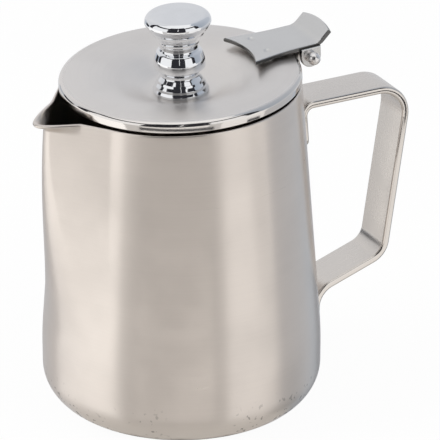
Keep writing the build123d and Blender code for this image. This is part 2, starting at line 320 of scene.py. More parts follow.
def satin_steel(name, across, along, colour, rough, spread, turned=0.0, relief=0.05):
    """Satin stainless steel with brushed roughness and tone and faint marks.

    Turned is how far its highlights are drawn out over a brushing that runs round the axis.
    """
    patch_size, wear, scratch_depth = 38.0, 0.05, 0.2 * MM
    material, tree, steel, where = shader(name)
    brushed = put_group(
        tree, BRUSHING, Along=along(tree, where), Across=across(tree, where), Roughness=rough, Spread=spread
    )
    marks = put_group(tree, MARKS, Vector=where, Size=patch_size)["Marks"]
    worn = calc(tree, "MULTIPLY", marks, wear)
    paint = scaled(tree, colour, calc(tree, "SUBTRACT", brushed["Shade"], worn))
    bump = place(tree, "ShaderNodeBump", Height=brushed["Height"], Strength=relief, Distance=scratch_depth)
    tree.links.new(paint, steel.inputs["Base Color"])
    tree.links.new(calc(tree, "ADD", brushed["Roughness"], worn), steel.inputs["Roughness"])
    tree.links.new(bump.outputs[0], steel.inputs["Normal"])
    steel.inputs["Metallic"].default_value = 1.0
    if turned:
        axis = place(tree, "ShaderNodeTangent", {"direction_type": "RADIAL", "axis": "Z"})
        tree.links.new(axis.outputs[0], steel.inputs["Tangent"])
        steel.inputs["Anisotropic"].default_value = turned
        steel.inputs["Anisotropic Rotation"].default_value = 0.25
    return material


def height_in_piece(tree, where):
    """Counts over scratches that run round an upright wall."""
    return place(tree, "ShaderNodeSeparateXYZ", Vector=where).outputs["Z"]


def flat_in_piece(tree, where):
    """Runs with scratches that keep their height."""
    return scaled(tree, where, (1.0, 1.0, 0.0))


BODY_STEEL = satin_steel(
    "body_steel", height_in_piece, flat_in_piece, (0.80, 0.74, 0.69), rough=0.30, spread=0.14, turned=0.75
)


def water_spots(material, low, high):
    """Small dark specks that drops have left in patches round the foot, between two heights."""
    grain_scale, grain_clear, grain_full = 480.0, 0.63, 0.69
    patch_scale, patch_clear, patch_full = 46.0, 0.47, 0.56
    darkening = 0.9
    tree = material.node_tree
    where = tree.nodes["Texture Coordinate"].outputs["Object"]
    grain = place(tree, "ShaderNodeTexNoise", Vector=where, Scale=grain_scale, Detail=1.0).outputs[0]
    patch = place(tree, "ShaderNodeTexNoise", Vector=where, Scale=patch_scale, Detail=1.0).outputs[0]
    specks = ramp(tree, grain, grain_clear, grain_full)
    patches = ramp(tree, patch, patch_clear, patch_full)
    height = height_in_piece(tree, where)
    band = calc(tree, "MULTIPLY", ramp(tree, height, high, low), ramp(tree, height, 0.5 * low, low))
    spots = calc(tree, "MULTIPLY", calc(tree, "MULTIPLY", specks, patches), band)
    paint = tree.nodes["Principled BSDF"].inputs["Base Color"]
    tone = calc(tree, "SUBTRACT", 1.0, calc(tree, "MULTIPLY", spots, darkening))
    tree.links.new(scaled(tree, paint.links[0].from_socket, tone), paint)


water_spots(BODY_STEEL, 3.0 * MM, 19.0 * MM)


def dress(piece, material, body, node):
    """Gives a finished mesh its material and its place on the frame, in the stead of its CAD node."""
    piece.data.materials.clear()
    piece.data.materials.append(material)
    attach(piece, body)
    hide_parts(node)


jug = bpy.data.objects.new("jug", body_mesh())
bpy.context.collection.objects.link(jug)
dress(jug, BODY_STEEL, "jug", "jug_body")

# Handle. One flat strip of 17.7 x 3 mm stainless bar, bent four times and spot welded to the wall.
# Its faces are brushed lengthwise, and its long edges are rounded and polished by tumbling.
STRIP_WIDTH = 17.7 * MM
STRIP_THICKNESS = 3.0 * MM
STRIP_EDGE = 1.0 * MM
STRIP_STEP = 0.3 * MM
FOOT_CORNER = 4.0 * MM
FOOT_BITE = 0.25 * MM
HANDLE_TOP = 114.3 * MM
UPPER_FOOT_END = 95.1 * MM
LOWER_FOOT_END = 11.2 * MM
HANDLE_REACH = 96.8 * MM
GRIP_SLOPE = math.tan(math.radians(8.4))
LOWER_ARM_HEIGHT = 32.6 * MM
ARM_SLOPE = math.tan(math.radians(18.8))
BEND_UPPER_FOOT = 4.0 * MM
BEND_TOP = 11.5 * MM
BEND_BOTTOM = 8.5 * MM
BEND_LOWER_FOOT = 9.5 * MM
ARM_HEIGHT = HANDLE_TOP - STRIP_THICKNESS / 2
FOOT_OUT = STRIP_THICKNESS / 2 - FOOT_BITE
LOWER_FOOT_X = BELLY_RADIUS + FOOT_OUT
GRIP_TOP_X = HANDLE_REACH - STRIP_THICKNESS / 2
ARM_RISE = (GRIP_TOP_X - GRIP_SLOPE * (ARM_HEIGHT - LOWER_ARM_HEIGHT) - LOWER_FOOT_X) * ARM_SLOPE
GRIP_BOTTOM = LOWER_ARM_HEIGHT + ARM_RISE / (1 - GRIP_SLOPE * ARM_SLOPE)
STRIP_PATH = (
    (body_radius(UPPER_FOOT_END) + FOOT_OUT, UPPER_FOOT_END, 0.0),
    (body_radius(ARM_HEIGHT) + FOOT_OUT, ARM_HEIGHT, BEND_UPPER_FOOT),
    (GRIP_TOP_X, ARM_HEIGHT, BEND_TOP),
    (GRIP_TOP_X - GRIP_SLOPE * (ARM_HEIGHT - GRIP_BOTTOM), GRIP_BOTTOM, BEND_BOTTOM),
    (LOWER_FOOT_X, LOWER_ARM_HEIGHT, BEND_LOWER_FOOT),
    (LOWER_FOOT_X, LOWER_FOOT_END, 0.0),
)


def corner_line(name, corners):
    """A line of straight runs in the XZ plane; each corner carries its bending radius."""
    line = bpy.data.curves.new(name, "CURVE")
    line.dimensions = "3D"
    run = line.splines.new("POLY")
    run.points.add(len(corners) - 1)
    for point, (x, z, bend) in zip(run.points, corners):
        point.co = (x, 0, z, 1)
        point.radius = bend
    piece = bpy.data.objects.new(name, line)
    bpy.context.collection.objects.link(piece)
    return piece


def node_sockets(tree, sockets):
    """Names a geometry tree's inputs and its one result, and returns the inputs."""
    for name, kind in sockets:
        tree.interface.new_socket(name, in_out="INPUT", socket_type="NodeSocket" + kind)
    tree.interface.new_socket("Piece", in_out="OUTPUT", socket_type="NodeSocketGeometry")
    return tree.nodes.new("NodeGroupInput").outputs


def bent_line(tree, line, steps):
    """Rounds each corner of a line by the bending radius that it carries."""
    bend = tree.nodes.new("GeometryNodeInputRadius").outputs[0]
    bent = place(tree, "GeometryNodeFilletCurve", {"mode": "POLY"}, Curve=line, Count=steps, Radius=bend)
    bent.inputs["Limit Radius"].default_value = True
    return bent.outputs[0]


def close_tree(tree, mesh, finish):
    """Smooth faces with sharp edges kept, instances made real, finish set, and the tree's result."""
    sharp_fold = 0.6
    soft = place(tree, "GeometryNodeSetShadeSmooth", i0=mesh).outputs[0]
    fold = tree.nodes.new("GeometryNodeInputMeshEdgeAngle").outputs[0]
    sharp = place(tree, "FunctionNodeCompare", A=fold, B=sharp_fold).outputs[0]
    crisp = place(tree, "GeometryNodeSetShadeSmooth", {"domain": "EDGE"}, i0=soft, i1=sharp, i2=False)
    real = place(tree, "GeometryNodeRealizeInstances", i0=crisp.outputs[0])
    painted = place(tree, "GeometryNodeSetMaterial", i0=real.outputs[0], Material=finish)
    place(tree, "NodeGroupOutput", i0=painted.outputs[0])


def made_by(piece, tree, name, **sizes):
    """Runs a tree on a line with its sizes and returns the plain mesh as a new object."""
    modifier = piece.modifiers.new(tree.name, "NODES")
    modifier.node_group = tree
    for item in tree.interface.items_tree:
        size = item.name.replace(" ", "_")
        if item.in_out == "INPUT" and size in sizes:
            modifier[item.identifier] = sizes[size]
    ready = piece.evaluated_get(bpy.context.evaluated_depsgraph_get())
    mesh = bpy.data.meshes.new_from_object(ready)
    line = piece.data
    piece.modifiers.clear()
    bpy.data.objects.remove(piece)
    bpy.data.curves.remove(line)
    mesh.name = name
    made = bpy.data.objects.new(name, mesh)
    bpy.context.collection.objects.link(made)
    return made


def bent_strip():
    """Flat bar bent along a line of corners, with rounded long edges and rounded ends."""
    tree = bpy.data.node_groups.new("bent_strip", "GeometryNodeTree")
    start = node_sockets(tree, (
        ("Line", "Geometry"), ("Width", "Float"), ("Thickness", "Float"), ("Edge", "Float"),
        ("Edge Steps", "Int"), ("End Corner", "Float"), ("Bend Steps", "Int"), ("Step", "Float"),
        ("Finish", "Material"),
    ))
    bent = bent_line(tree, start["Line"], start["Bend Steps"])
    even = place(tree, "GeometryNodeResampleCurve", {"mode": "LENGTH"}, Curve=bent, Length=start["Step"])
    plain = place(tree, "GeometryNodeSetCurveRadius", Curve=even.outputs[0], Radius=1.0)
    facing = place(
        tree, "GeometryNodeSetCurveNormal", {"mode": "FREE"}, Curve=plain.outputs[0], Normal=(0.0, 1.0, 0.0)
    )
    run = tree.nodes.new("GeometryNodeSplineParameter").outputs["Length"]
    whole = tree.nodes.new("GeometryNodeSplineLength").outputs["Length"]
    to_end = calc(tree, "MINIMUM", run, calc(tree, "SUBTRACT", whole, run))
    line = facing
    for name, value in (("along", run), ("to_end", to_end)):
        line = place(
            tree, "GeometryNodeStoreNamedAttribute", Geometry=line.outputs[0], Name=name, Value=value
        )
    width, thickness = start["Width"], start["Thickness"]
    bar = place(tree, "GeometryNodeCurvePrimitiveQuadrilateral", Width=width, Height=thickness)
    round_bar = place(
        tree, "GeometryNodeFilletCurve", {"mode": "POLY"}, Curve=bar.outputs[0],
        Count=start["Edge Steps"], Radius=start["Edge"],
    )
    solid = place(tree, "GeometryNodeCurveToMesh", i0=line.outputs[0], i1=round_bar.outputs[0])
    solid.inputs["Fill Caps"].default_value = True
    near_end = place(tree, "GeometryNodeInputNamedAttribute", Name="to_end").outputs[0]
    short = calc(tree, "MAXIMUM", calc(tree, "SUBTRACT", start["End Corner"], near_end), 0.0)
    square = calc(tree, "MULTIPLY", start["End Corner"], start["End Corner"])
    left = calc(tree, "SQRT", calc(tree, "SUBTRACT", square, calc(tree, "MULTIPLY", short, short)))
    half = calc(tree, "MULTIPLY", width, 0.5)
    kept = calc(tree, "SUBTRACT", half, calc(tree, "SUBTRACT", start["End Corner"], left))
    position = tree.nodes.new("GeometryNodeInputPosition").outputs[0]
    spot = place(tree, "ShaderNodeSeparateXYZ", i0=position).outputs
    narrow = calc(tree, "MULTIPLY", spot["Y"], calc(tree, "DIVIDE", kept, half))
    moved = place(tree, "ShaderNodeCombineXYZ", X=spot["X"], Y=narrow, Z=spot["Z"])
    shaped = place(tree, "GeometryNodeSetPosition", i0=solid.outputs[0], Position=moved.outputs[0])
    close_tree(tree, shaped.outputs[0], start["Finish"])
    return tree


def along_strip(tree, where):
    """Runs with scratches that follow the strip through its bends."""
    run = place(tree, "ShaderNodeAttribute", {"attribute_name": "along"})
    return place(tree, "ShaderNodeCombineXYZ", X=run.outputs["Fac"]).outputs[0]


def side_in_piece(tree, where):
    """Counts over scratches that keep to one side of the middle plane."""
    return place(tree, "ShaderNodeSeparateXYZ", Vector=where).outputs["Y"]


def off_middle(tree, where):
    """Distance from the middle plane, to either side."""
    return calc(tree, "ABSOLUTE", side_in_piece(tree, where))


HANDLE_STEEL = satin_steel(
    "handle_steel", side_in_piece, along_strip, (0.745, 0.705, 0.665), rough=0.26, spread=0.12, relief=0.02
)


def edge_polish():
    """Brings a brushed roughness down to a polished one while Distance goes from Start to Full."""
    inputs = [(name, "Float") for name in ("Distance", "Start", "Full", "Brushed", "Polished")]
    group, start, end = shader_group("edge_polish", inputs, ("Roughness",))
    share = ramp(group, start["Distance"], start["Start"], start["Full"])
    change = calc(group, "SUBTRACT", start["Polished"], start["Brushed"])
    rough = calc(group, "ADD", start["Brushed"], calc(group, "MULTIPLY", share, change))
    group.links.new(rough, end["Roughness"])
    return group


POLISH = edge_polish()


def polish_edge(material, distance, begin, full, rough):
    """Polishes a brushed steel from one distance to another, and beyond that all the way."""
    tree = material.node_tree
    where = tree.nodes["Texture Coordinate"].outputs["Object"]
    finish = tree.nodes["Principled BSDF"].inputs["Roughness"]
    polished = put_group(
        tree, POLISH, Distance=distance(tree, where), Start=begin, Full=full,
        Brushed=finish.links[0].from_socket, Polished=rough,
    )
    tree.links.new(polished["Roughness"], finish)


polish_edge(
    HANDLE_STEEL, off_middle, STRIP_WIDTH / 2 - STRIP_EDGE, STRIP_WIDTH / 2 - 0.7 * STRIP_EDGE, rough=0.08
)
handle = made_by(
    corner_line("handle_line", STRIP_PATH), bent_strip(), "handle_strip", Width=STRIP_WIDTH,
    Thickness=STRIP_THICKNESS, Edge=STRIP_EDGE, Edge_Steps=6, End_Corner=FOOT_CORNER, Bend_Steps=12,
    Step=STRIP_STEP, Finish=HANDLE_STEEL,
)
dress(handle, HANDLE_STEEL, "jug", "handle")


# Hinge bracket. A small leaf of 1.1 mm sheet, welded to the wall under the rim and rolled round the pin.
# It is the part of the hinge that stays with the body, and is left as it came from the press.
def upright_in_piece(tree, where):
    """Runs with scratches that go along the jug from spout to handle."""
    return scaled(tree, where, (1.0, 0.0, 1.0))


BRACKET_STEEL = satin_steel(
    "bracket_steel", side_in_piece, upright_in_piece, (0.74, 0.71, 0.68), rough=0.34, spread=0.12
)
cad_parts["hinge_bracket"].material_slots[0].material = BRACKET_STEEL

# Lid. One pressed disc of 0.9 mm sheet with a shallow dish in the middle and a rounded, turned-down edge.
# It is brushed in rings on a lathe, its edge is polished, and it sits a little higher at the hinge.
LID_SHEET = 0.9 * MM
LID_EDGE_HEIGHT = 2.95 * MM
LID_EDGE_ROUND = 2.0 * MM
LID_SKIRT = 1.0 * MM
LID_HEM = 0.3 * MM
LID_CROWN = 1.2 * MM
LID_LIFT = math.radians(2.4)
SEAT_GAP = 0.3 * MM
DISH_DEPTH = 7.1 * MM
DISH_FLOOR_RADIUS = 13.0 * MM
DISH_TOP_RADIUS = 31.0 * MM
DISH_BLEND = 14.0 * MM
DISH_SHOULDER = 36.0 * MM
LID_BASE = BODY_HEIGHT + SEAT_GAP
LID_TOP = LID_BASE + LID_EDGE_HEIGHT
LID_FOOT = LID_BASE - LID_SKIRT
DISH_FLOOR = LID_TOP - DISH_DEPTH
UNDER_SHIFT = LID_SHEET * DISH_DEPTH / (DISH_TOP_RADIUS - DISH_FLOOR_RADIUS) / 2
LIFT_CENTRE = Vector((-RIM_RADIUS, 0, LID_BASE))
LID_PROFILE = (
    (0.0, DISH_FLOOR, 0.0),
    (DISH_FLOOR_RADIUS, DISH_FLOOR, DISH_BLEND),
    (DISH_TOP_RADIUS, LID_TOP + LID_CROWN, DISH_SHOULDER),
    (RIM_RADIUS, LID_TOP, LID_EDGE_ROUND),
    (RIM_RADIUS, LID_FOOT, LID_HEM),
    (RIM_RADIUS - LID_SHEET, LID_FOOT, LID_HEM),
    (RIM_RADIUS - LID_SHEET, LID_TOP - LID_SHEET, LID_EDGE_ROUND - LID_SHEET),
    (DISH_TOP_RADIUS + UNDER_SHIFT, LID_TOP + LID_CROWN - LID_SHEET, DISH_SHOULDER - LID_SHEET),
    (DISH_FLOOR_RADIUS + UNDER_SHIFT, DISH_FLOOR - LID_SHEET, DISH_BLEND + LID_SHEET),
    (0.0, DISH_FLOOR - LID_SHEET, 0.0),
)


def turned_piece():
    """Turns a line of corners round the jug's axis, then lifts it at the hinge about the lid's edge."""
    tree = bpy.data.node_groups.new("turned_piece", "GeometryNodeTree")
    start = node_sockets(tree, (
        ("Line", "Geometry"), ("Facets", "Int"), ("Corner Steps", "Int"),
        ("Lift", "Float"), ("Lift Centre", "Vector"), ("Finish", "Material"),
    ))
    line = bent_line(tree, start["Line"], start["Corner Steps"])
    size = place(tree, "GeometryNodeAttributeDomainSize", {"component": "CURVE"}, i0=line)
    rows = size.outputs["Point Count"]
    columns = calc(tree, "ADD", start["Facets"], 1.0)
    grid = tree.nodes.new("GeometryNodeMeshGrid")
    tree.links.new(columns, grid.inputs["Vertices X"])
    tree.links.new(rows, grid.inputs["Vertices Y"])
    number = tree.nodes.new("GeometryNodeInputIndex").outputs[0]
    column = calc(tree, "FLOOR", calc(tree, "DIVIDE", calc(tree, "ADD", number, 0.5), rows))
    row = calc(tree, "SUBTRACT", number, calc(tree, "MULTIPLY", column, rows))
    spots = tree.nodes.new("GeometryNodeInputPosition").outputs[0]
    point = place(
        tree, "GeometryNodeSampleIndex", {"data_type": "FLOAT_VECTOR"}, Geometry=line, Value=spots, Index=row
    )
    turn = calc(tree, "DIVIDE", calc(tree, "MULTIPLY", column, 2 * math.pi), start["Facets"])
    spun = place(
        tree, "ShaderNodeVectorRotate", {"rotation_type": "Z_AXIS"}, Vector=point.outputs[0], Angle=turn
    )
    lifted = place(
        tree, "ShaderNodeVectorRotate", {"rotation_type": "Y_AXIS"}, Vector=spun.outputs[0],
        Center=start["Lift Centre"], Angle=start["Lift"],
    )
    shaped = place(tree, "GeometryNodeSetPosition", i0=grid.outputs[0], Position=lifted.outputs[0])
    closed = place(tree, "GeometryNodeMergeByDistance", i0=shaped.outputs[0], Distance=MERGE_DISTANCE)
    close_tree(tree, closed.outputs[0], start["Finish"])
    return tree


TURNED = turned_piece()


def across_rings(tree, where):
    """Counts over scratches that run in rings round the axis."""
    flat = flat_in_piece(tree, where)
    return place(tree, "ShaderNodeVectorMath", {"operation": "LENGTH"}, i0=flat).outputs["Value"]


LID_STEEL = satin_steel(
    "lid_steel", across_rings, flat_in_piece, (0.80, 0.77, 0.745), rough=0.31, spread=0.04, turned=0.3,
    relief=0.004,
)
polish_edge(
    LID_STEEL, across_rings, RIM_RADIUS - LID_EDGE_ROUND, RIM_RADIUS - 0.5 * LID_EDGE_ROUND, rough=0.10
)
lid = made_by(
    corner_line("lid_line", LID_PROFILE), TURNED, "lid_disc", Facets=256, Corner_Steps=12,
    Lift=-LID_LIFT, Lift_Centre=LIFT_CENTRE, Finish=LID_STEEL,
)
dress(lid, LID_STEEL, "lid", "lid")

# Thumb plate. The hinge leaf that moves: 1.8 mm sheet, spot welded to the lid on two pressed dimples.
# Its front is cut to a ring round the knob, its ears are folded down over the pin, its tail up for the thumb.
# Its faces are brushed across and its edges are broken; its cut sides are painted dark, a painted shade for
# the shadowed gap under the plate and the dark reflection in its edges.
PLATE_THICKNESS = 1.8 * MM
PLATE_STAND = 1.4 * MM
PLATE_WIDTH = 23.2 * MM
PLATE_FRONT_RADIUS = 28.6 * MM
PLATE_EDGE = 0.45 * MM
PLATE_WAIST = 1.2 * MM
PLATE_WAIST_END = 0.62
PRONG_FLARE = 1.4 * MM
WELD_X = 34.0 * MM
WELD_SPREAD = 13.0 * MM
WELD_BALL = 2.6 * MM
WELD_DEPTH = 0.5 * MM
WELD_FOOT = 1.6 * MM
WELD_FOOT_FLARE = 1.3
HINGE_SETBACK = 4.1 * MM
PIN_DROP = 4.6 * MM
EAR_RADIUS = 4.2 * MM
EAR_STEPS = 24
TAB_WIDTH = 20.6 * MM
TAB_SHOULDER = 0.1 * MM
TAB_REACH = 10.2 * MM
TAB_ANGLE = math.radians(42)
TAB_BEND = 6.0 * MM
TAB_BEND_STEPS = 12
TAB_END_ARC = 45.0 * MM
WAIST_STEPS = 16
ARC_STEPS = 24
TAIL_STEPS = 16
PLATE_BASE = LID_TOP + PLATE_STAND
PLATE_TOP = PLATE_BASE + PLATE_THICKNESS
PLATE_MIDDLE = PLATE_BASE + PLATE_THICKNESS / 2
PIN_X = RIM_RADIUS + HINGE_SETBACK
PIN_Z = PLATE_TOP - PIN_DROP
BEND_LENGTH = TAB_BEND * math.tan(TAB_ANGLE / 2)
BEND_START = PIN_X + EAR_RADIUS - BEND_LENGTH
BEND_RUN = TAB_BEND * TAB_ANGLE


def flat_blank(shape, outline, thickness, edge, rise):
    """Adds a plate cut to an outline, standing on a height and with its edges broken round, to a shape.

    The faces left by the shear are marked in the layer cut_edge.
    """
    level, upright = 1e-7, 0.6
    corners = [shape.verts.new((x, y, rise)) for x, y in outline]
    face = shape.faces.new(corners)
    lifted = bmesh.ops.extrude_face_region(shape, geom=[face])["geom"]
    upper = [v for v in lifted if isinstance(v, bmesh.types.BMVert)]
    bmesh.ops.translate(shape, vec=(0, 0, thickness), verts=upper)
    rims = {
        side for v in corners for side in v.link_edges
        if abs(side.verts[0].co.z - side.verts[1].co.z) < level
    }
    rims |= {side for f in lifted if isinstance(f, bmesh.types.BMFace) for side in f.edges}
    bmesh.ops.bevel(shape, geom=list(rims), offset=edge, segments=3, profile=0.5, affect="EDGES")
    cut = shape.faces.layers.float.get("cut_edge") or shape.faces.layers.float.new("cut_edge")
    shape.normal_update()
    for f in shape.faces:
        f[cut] = 1.0 if abs(f.normal.z) < upright else 0.0


def tab_length(y):
    """Flat length of the plate to the tab's end, which is cut to a wide arc."""
    end = PIN_X + TAB_REACH - TAB_END_ARC + math.sqrt(TAB_END_ARC**2 - y**2)
    rise_start = PIN_X + EAR_RADIUS + BEND_LENGTH * math.cos(TAB_ANGLE)
    return BEND_START + BEND_RUN + (end - rise_start) / math.cos(TAB_ANGLE)


def plate_outline():
    """The plate's blank: two prongs round the knob, a waist before the ears, and the thumb tab."""
    side = PLATE_WIDTH / 2 + PRONG_FLARE
    ear_front = PIN_X - EAR_RADIUS
    prong = math.sqrt(PLATE_FRONT_RADIUS**2 - side**2)
    half = []
    for step in range(1, WAIST_STEPS + 1):
        share = step / WAIST_STEPS
        width = side - PRONG_FLARE * share - PLATE_WAIST * math.sin(math.pi * share * PLATE_WAIST_END)
        half.append((prong + (ear_front - prong) * share, width))
    half += [(BEND_START, TAB_WIDTH / 2 + TAB_SHOULDER), (BEND_START + BEND_RUN, TAB_WIDTH / 2)]
    tail_sides = [TAB_WIDTH / 2 * (1 - 2 * step / TAIL_STEPS) for step in range(TAIL_STEPS + 1)]
    nose_sides = [side * (2 * step / ARC_STEPS - 1) for step in range(ARC_STEPS + 1)]
    tail = [(tab_length(y), y) for y in tail_sides]
    nose = [(math.sqrt(PLATE_FRONT_RADIUS**2 - y**2), y) for y in nose_sides]
    return nose + half + tail + [(x, -y) for x, y in reversed(half)]


def pressed_blank(shape):
    """The flat plate with its two dimples pressed in, as a mesh; shape is used for the work and emptied."""
    flat_blank(shape, plate_outline(), PLATE_THICKNESS, PLATE_EDGE, PLATE_BASE)
    blank = bpy.data.meshes.new("plate_blank")
    shape.to_mesh(blank)
    shape.clear()
    for y in (-WELD_SPREAD / 2, WELD_SPREAD / 2):
        spot = Matrix.Translation((WELD_X, y, PLATE_TOP + WELD_BALL - WELD_DEPTH))
        bmesh.ops.create_uvsphere(shape, u_segments=40, v_segments=36, radius=WELD_BALL, matrix=spot)
    punch_mesh = bpy.data.meshes.new("plate_punch")
    shape.to_mesh(punch_mesh)
    shape.clear()
    plate = bpy.data.objects.new("plate_blank", blank)
    punch = bpy.data.objects.new("plate_punch", punch_mesh)
    for piece in (plate, punch):
        bpy.context.collection.objects.link(piece)
    press = plate.modifiers.new("dimples", "BOOLEAN")
    press.operation = "DIFFERENCE"
    press.object = punch
    pressed = bpy.data.meshes.new_from_object(plate.evaluated_get(bpy.context.evaluated_depsgraph_get()))
    for piece in (plate, punch):
        bpy.data.objects.remove(piece)
    for mesh in (blank, punch_mesh):
        bpy.data.meshes.remove(mesh)
    return pressed


def plate_mesh():
    """Bends the pressed blank's tail up, adds the ears and the weld feet, and lifts it all with the lid."""
    shape = bmesh.new()
    leaf_mesh = pressed_blank(shape)
    shape.from_mesh(leaf_mesh)
    for step in range(TAB_BEND_STEPS + 1):
        cut = (BEND_START + BEND_RUN * step / TAB_BEND_STEPS, 0, 0)
        whole = shape.verts[:] + shape.edges[:] + shape.faces[:]
        bmesh.ops.bisect_plane(shape, geom=whole, plane_co=cut, plane_no=(1, 0, 0), dist=1e-7)
    for v in shape.verts:
        run = v.co.x - BEND_START
        if run > 0:
            inner = TAB_BEND - (v.co.z - PLATE_MIDDLE)
            angle = min(run / TAB_BEND, TAB_ANGLE)
            straight = max(run - BEND_RUN, 0)
            v.co.x = BEND_START + inner * math.sin(angle) + straight * math.cos(angle)
            v.co.z = PLATE_MIDDLE + TAB_BEND - inner * math.cos(angle) + straight * math.sin(angle)
    ears = bmesh.new()
    for inner in (PLATE_WIDTH / 2 - PLATE_THICKNESS, -PLATE_WIDTH / 2):
        outline = [(PIN_X + EAR_RADIUS, -PLATE_MIDDLE), (PIN_X - EAR_RADIUS, -PLATE_MIDDLE)]
        for step in range(EAR_STEPS + 1):
            angle = math.pi * step / EAR_STEPS
            outline.append((PIN_X - EAR_RADIUS * math.cos(angle), EAR_RADIUS * math.sin(angle) - PIN_Z))
        flat_blank(ears, outline, PLATE_THICKNESS, PLATE_EDGE, inner)
    bmesh.ops.rotate(ears, verts=ears.verts, matrix=Matrix.Rotation(-math.pi / 2, 3, "X"))
    ears.to_mesh(leaf_mesh)
    ears.free()
    shape.from_mesh(leaf_mesh)
    for y in (-WELD_SPREAD / 2, WELD_SPREAD / 2):
        foot = Matrix.Translation((WELD_X, y, PLATE_BASE - PLATE_STAND / 2 + WELD_DEPTH / 2))
        bmesh.ops.create_cone(
            shape, cap_ends=True, segments=32, radius1=WELD_FOOT, radius2=WELD_FOOT_FLARE * WELD_FOOT,
            depth=PLATE_STAND + WELD_DEPTH, matrix=foot,
        )
    there = Matrix.Translation(LIFT_CENTRE)
    lift = there @ Matrix.Rotation(-LID_LIFT, 4, "Y") @ there.inverted()
    bmesh.ops.transform(shape, matrix=lift, verts=shape.verts)
    bmesh.ops.recalc_face_normals(shape, faces=shape.faces)
    shape.to_mesh(leaf_mesh)
    shape.free()
    leaf_mesh.name = "thumb_leaf"
    leaf_mesh.shade_smooth()
    leaf_mesh.set_sharp_from_angle(angle=math.radians(12))
    return leaf_mesh


def painted_edge_shade(material, tone):
    """Darkens the sheet's cut sides: painted shade for the shadowed gap under the plate and the dark
    reflection in its edges.
    """
    tree = material.node_tree
    edge = place(tree, "ShaderNodeAttribute", {"attribute_name": "cut_edge"})
    share = calc(tree, "SUBTRACT", 1.0, calc(tree, "MULTIPLY", edge.outputs["Fac"], 1.0 - tone))
    paint = tree.nodes["Principled BSDF"].inputs["Base Color"]
    tree.links.new(scaled(tree, paint.links[0].from_socket, share), paint)


PLATE_STEEL = satin_steel(
    "plate_steel", side_in_piece, upright_in_piece, (0.70, 0.695, 0.69), rough=0.22, spread=0.12
)
# The plate's cut sides are painted dark: painted shade along its edges.
painted_edge_shade(PLATE_STEEL, 0.22)
leaf = bpy.data.objects.new("thumb_leaf", plate_mesh())
bpy.context.collection.objects.link(leaf)
dress(leaf, PLATE_STEEL, "lid", "thumb_plate")


# Hinge pin and its cap. A 3 mm pin with a turned ball head on one end and a pressed-on ball cap on the other.
# Both balls are polished bright.
def bright_steel(name, colour, rough):
    """Polished steel with wiped patches that are a little duller and darker."""
    patch_size, dulling, darkening = 160.0, 0.05, 0.04
    material, tree, steel, where = shader(name)
    marks = put_group(tree, MARKS, Vector=where, Size=patch_size)["Marks"]
    tone = calc(tree, "SUBTRACT", 1.0, calc(tree, "MULTIPLY", marks, darkening))
    worn = calc(tree, "ADD", rough, calc(tree, "MULTIPLY", marks, dulling))
    tree.links.new(scaled(tree, colour, tone), steel.inputs["Base Color"])
    tree.links.new(worn, steel.inputs["Roughness"])
    steel.inputs["Metallic"].default_value = 1.0
    return material


PIN_STEEL = bright_steel("pin_steel", (0.84, 0.82, 0.81), rough=0.26)
for node in ("hinge_pin", "pin_cap"):
    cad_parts[node].material_slots[0].material = PIN_STEEL

# Knob. Turned from bar in several tiers and chromed to a mirror: stepped foot, neck, barrel, neck and cap.
# A screw from under the lid draws it down on the dish floor. Each tier is a corner of its outline, with its
# radius and its height as shares of the knob's, and its rounding as a share of the knob's radius.
KNOB_HEIGHT = 31.6 * MM
KNOB_RADIUS = 12.6 * MM
KNOB_TIERS = (
    (0.845, 0.000, 0.02),
    (0.845, 0.030, 0.05),
    (0.790, 0.062, 0.03),
    (0.770, 0.090, 0.04),
    (0.700, 0.124, 0.03),
    (0.670, 0.150, 0.04),
    (0.560, 0.198, 0.12),
    (0.545, 0.222, 0.06),
    (0.660, 0.272, 0.03),
    (0.700, 0.290, 0.04),
    (0.790, 0.318, 0.06),
    (0.775, 0.418, 0.50),
    (0.685, 0.516, 0.15),
    (0.600, 0.538, 0.04),
    (0.570, 0.560, 0.06),
    (0.570, 0.612, 0.05),
    (0.620, 0.632, 0.02),
    (0.625, 0.655, 0.03),
    (0.690, 0.688, 0.04),
    (0.720, 0.715, 0.04),
    (0.785, 0.750, 0.04),
    (0.805, 0.778, 0.03),
    (0.915, 0.822, 0.06),
    (1.000, 0.884, 0.05),
    (1.000, 0.984, 0.23),
    (0.400, 0.994, 0.50),
    (0.000, 0.996, 0.00),
)
KNOB_PROFILE = [
    (KNOB_RADIUS * radius, DISH_FLOOR + KNOB_HEIGHT * height, KNOB_RADIUS * rounding)
    for radius, height, rounding in reversed(KNOB_TIERS)
]
KNOB_PROFILE.append((0.0, DISH_FLOOR, 0.0))
KNOB_CHROME = bright_steel("knob_chrome", (0.84, 0.85, 0.87), rough=0.04)
knob = made_by(
    corner_line("knob_line", KNOB_PROFILE), TURNED, "knob_turned", Facets=160, Corner_Steps=8,
    Lift=-LID_LIFT, Lift_Centre=LIFT_CENTRE, Finish=KNOB_CHROME,
)
dress(knob, KNOB_CHROME, "lid", "knob")

# Screw and washer under the lid. Plain bright steel, a slotted head drawn up against a flat washer.
# No side shows them while the lid is closed.
SCREW_STEEL = bright_steel("screw_steel", (0.70, 0.70, 0.70), rough=0.22)
for node in ("knob_screw", "knob_washer"):
    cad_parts[node].material_slots[0].material = SCREW_STEEL

# Floor. A pale matt table top that keeps the jug's soft shadow and is white to the camera.
# The steel doesn't mirror it: the cards below stand in for it there.
FLOOR_HALF = 6.0
FLOOR_WHITE = 0.95


def seen_directly(tree):
    """1 for rays from the camera, from a mirror or through glass, and 0 for the light on matt things."""
    rays = tree.nodes.new("ShaderNodeLightPath").outputs
    sharp = calc(tree, "MAXIMUM", rays["Is Glossy Ray"], rays["Is Transmission Ray"])
    return calc(tree, "MAXIMUM", rays["Is Camera Ray"], sharp)


